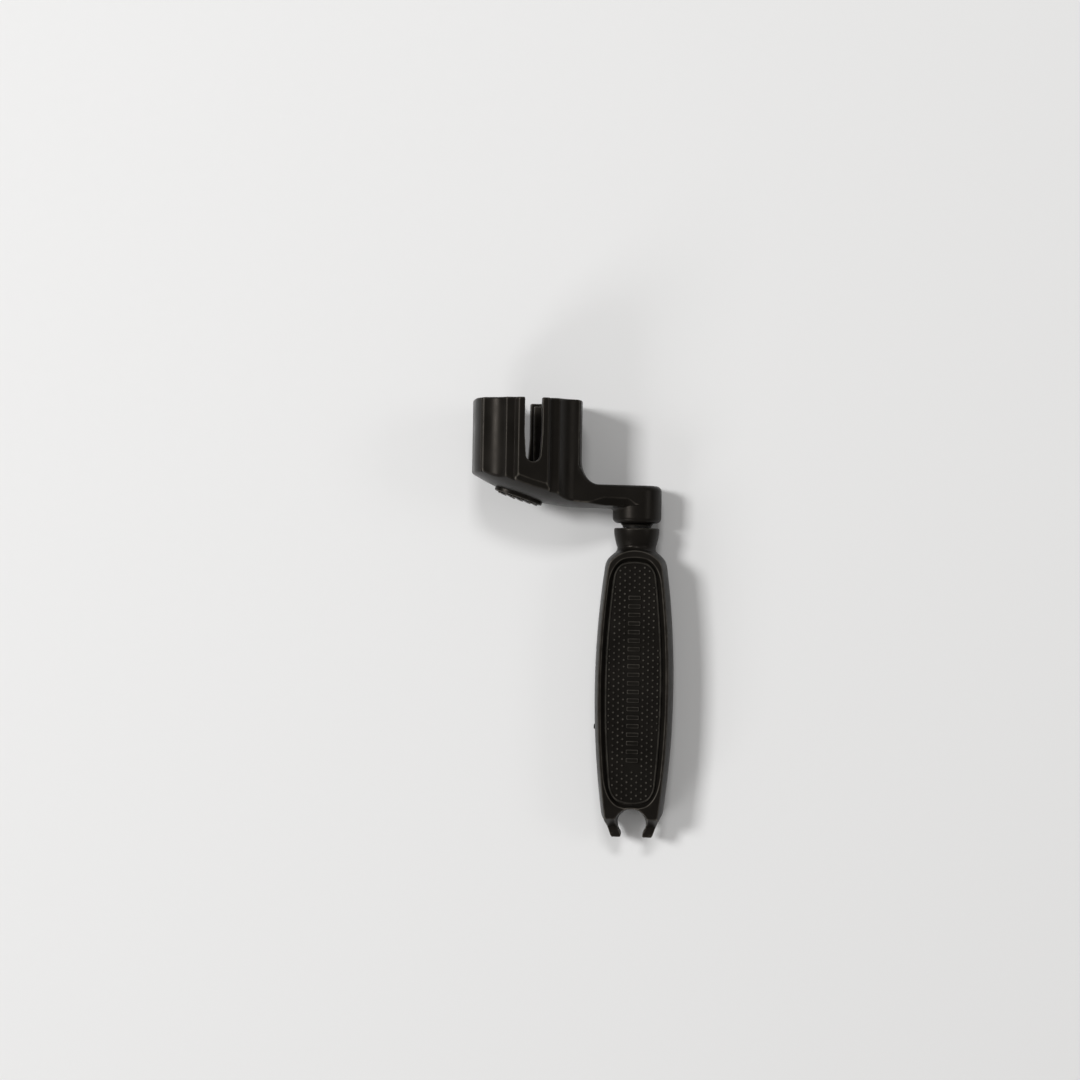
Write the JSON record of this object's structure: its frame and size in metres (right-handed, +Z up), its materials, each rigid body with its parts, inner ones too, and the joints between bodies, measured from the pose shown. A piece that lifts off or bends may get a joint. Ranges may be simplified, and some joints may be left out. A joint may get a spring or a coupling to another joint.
{
  "type": "string winder",
  "caption": "Hand crank for guitar tuning keys: a slotted cup on a short crank arm, a flat grip handle that spins on a pin, and a bridge-pin fork.",
  "frame": {"origin": "under the middle of the winder as it lies on its back, on the surface it lies on", "axes": "+Y along the spindle towards the cup's mouth, +Z up from the surface, +X from the cup towards the handle"},
  "size_m": [0.0586, 0.1238, 0.0287],
  "materials": {
    "body_plastic": "satin moulded plastic, near black",
    "badge_plastic": "fine satin plastic, near black",
    "washer_plastic": "black nylon",
    "pin_steel": "turned steel",
    "clip_steel": "spring steel",
    "pad_rubber": "matt, fine raised dots"
  },
  "bodies": {
    "crank": {"crank_head": "body_plastic", "oval_badge": "badge_plastic", "spindle": "pin_steel", "thrust_washer": "washer_plastic", "clip_washer": "pin_steel", "retaining_clip": "clip_steel"},
    "handle": {"handle_body": "body_plastic", "grip_pad_front": "pad_rubber", "grip_pad_back": "pad_rubber"}
  },
  "joints": [
    {"name": "handle_spin", "type": "hinge", "parent": "crank", "child": "handle", "pos_m": [0.01802, 0.02625, 0.0071], "axis": [0, 1, 0], "continuous": true}
  ]
}
